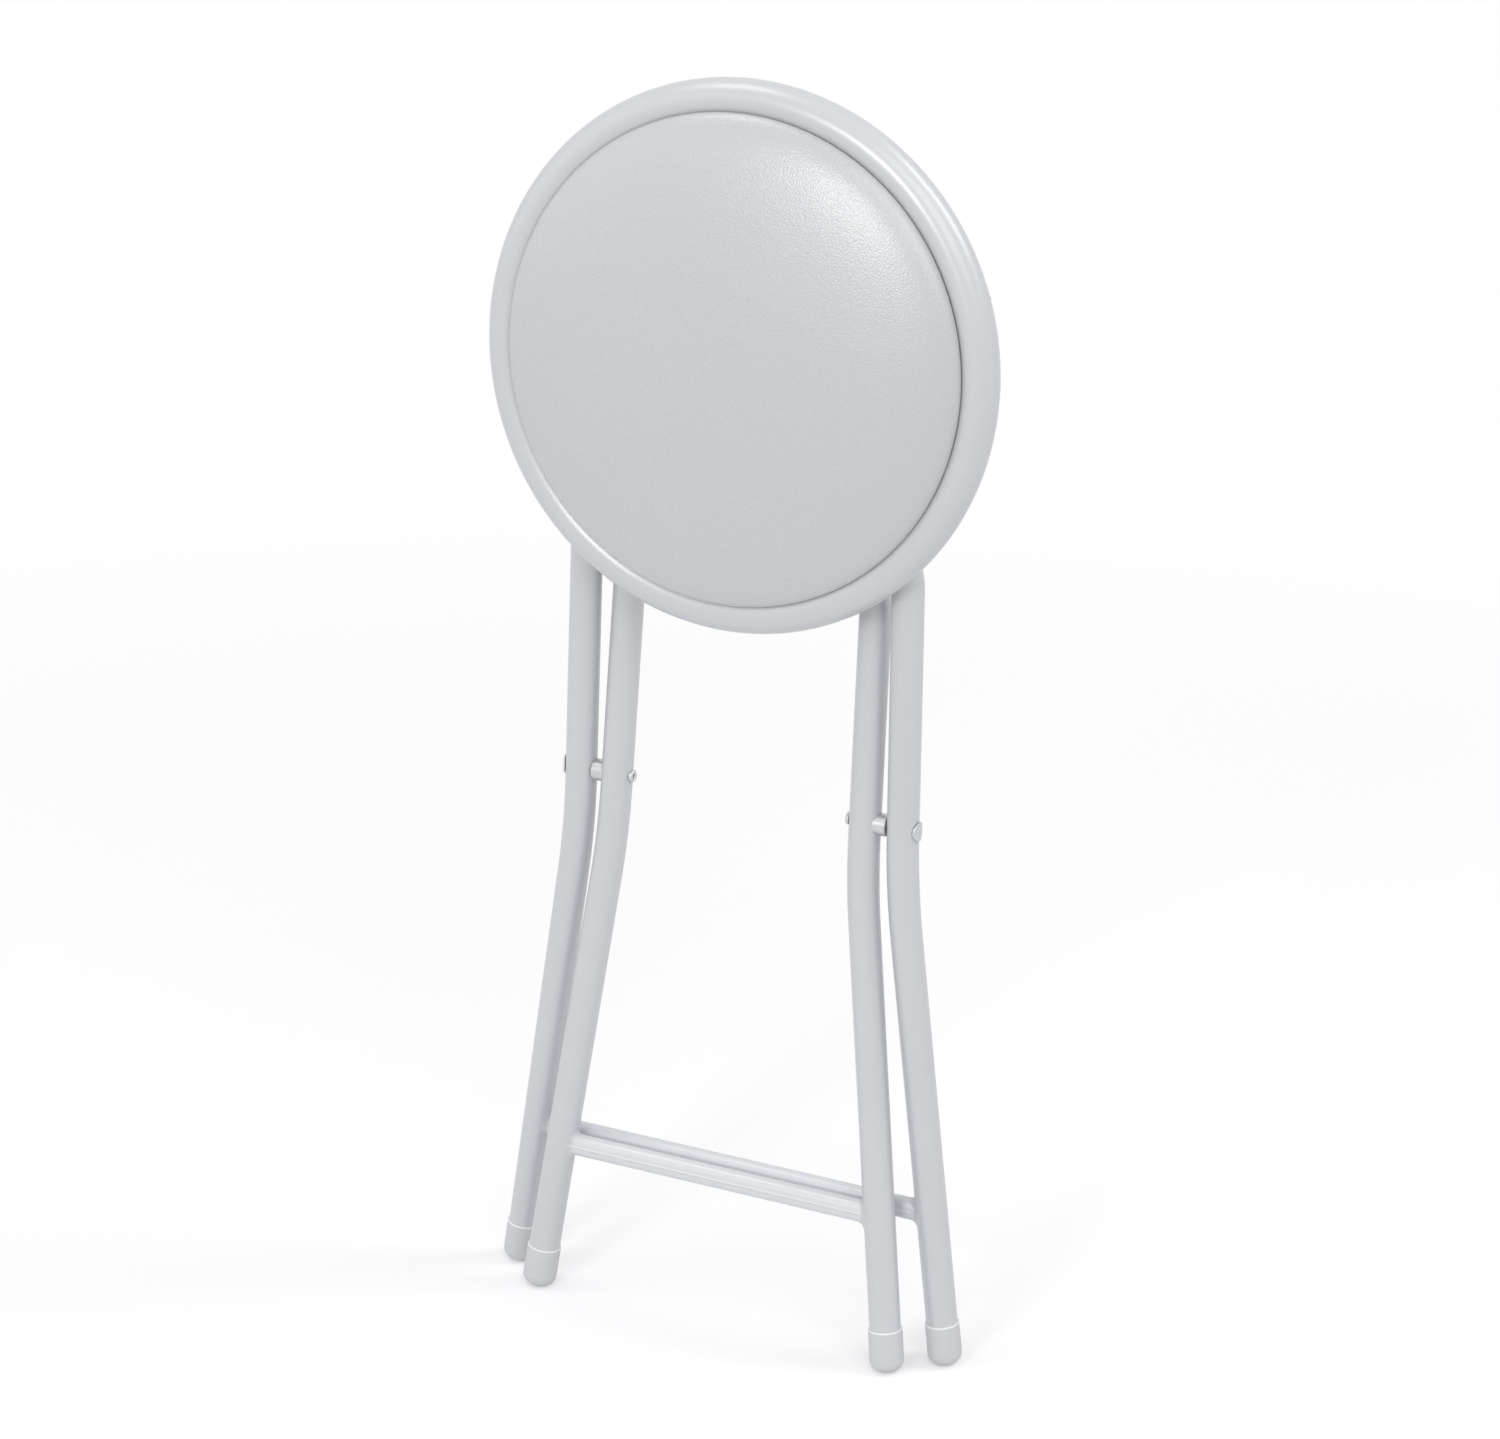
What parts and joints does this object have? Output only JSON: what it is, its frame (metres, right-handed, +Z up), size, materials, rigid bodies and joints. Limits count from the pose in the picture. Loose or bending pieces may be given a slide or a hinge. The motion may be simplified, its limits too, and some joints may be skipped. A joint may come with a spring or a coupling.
{
  "type": "folding stool",
  "caption": "Round padded stool on two crossed U frames of round tube, stored folded flat and upright; it opens to a level seat over splayed legs.",
  "frame": {"origin": "on the floor under the middle of the folded stool's box, midway between its left and right feet", "axes": "+Z up along the folded stool, +Y through its thin side to the back, so the padded seat faces -Y, and +X to the right seen from the front"},
  "size_m": [0.3, 0.0756, 0.7239],
  "materials": {
    "grey_paint": "satin silver-grey powder coat on steel tube",
    "zinc": "bright zinc plate, lightly dulled",
    "grey_plastic": "moulded grey polyethylene, satin",
    "plywood": "raw birch plywood",
    "foam": "open-cell polyurethane foam",
    "leatherette": "pale grey leatherette with a fine grain"
  },
  "bodies": {
    "outer": {"outer_frame": "grey_paint", "outer_stretcher": "grey_paint", "foot_cap_outer_left": "grey_plastic", "foot_cap_outer_right": "grey_plastic", "pivot_rivet_left": "zinc", "pivot_rivet_right": "zinc", "pivot_spacer_left": "zinc", "pivot_spacer_right": "zinc"},
    "inner": {"inner_frame": "grey_paint", "inner_stretcher": "grey_paint", "foot_cap_inner_left": "grey_plastic", "foot_cap_inner_right": "grey_plastic"},
    "seat": {"seat_rim": "grey_paint", "hinge_rail": "grey_paint", "rest_rail": "grey_paint", "hinge_loop_left": "grey_paint", "hinge_loop_right": "grey_paint", "rest_saddle_left": "grey_plastic", "rest_saddle_right": "grey_plastic", "seat_board": "plywood", "cushion_foam": "foam", "cushion_cover": "leatherette", "board_screw_1": "zinc", "board_screw_2": "zinc", "board_screw_3": "zinc", "board_screw_4": "zinc", "saddle_screw_left": "zinc", "saddle_screw_right": "zinc"}
  },
  "joints": [
    {"name": "frame_fold", "type": "hinge", "parent": "outer", "child": "inner", "pos_m": [0, 0.00737, 0.3194], "axis": [-1, 0, 0], "range_deg": [0, 60.5]},
    {"name": "seat_hinge", "type": "hinge", "parent": "outer", "child": "seat", "pos_m": [0, 0.00737, 0.4846], "axis": [-1, 0, 0], "range_deg": [0, 118.9]}
  ],
  "couplings": [
    {"joint": "seat_hinge", "follows": "frame_fold", "ratio": 1.9653}
  ]
}
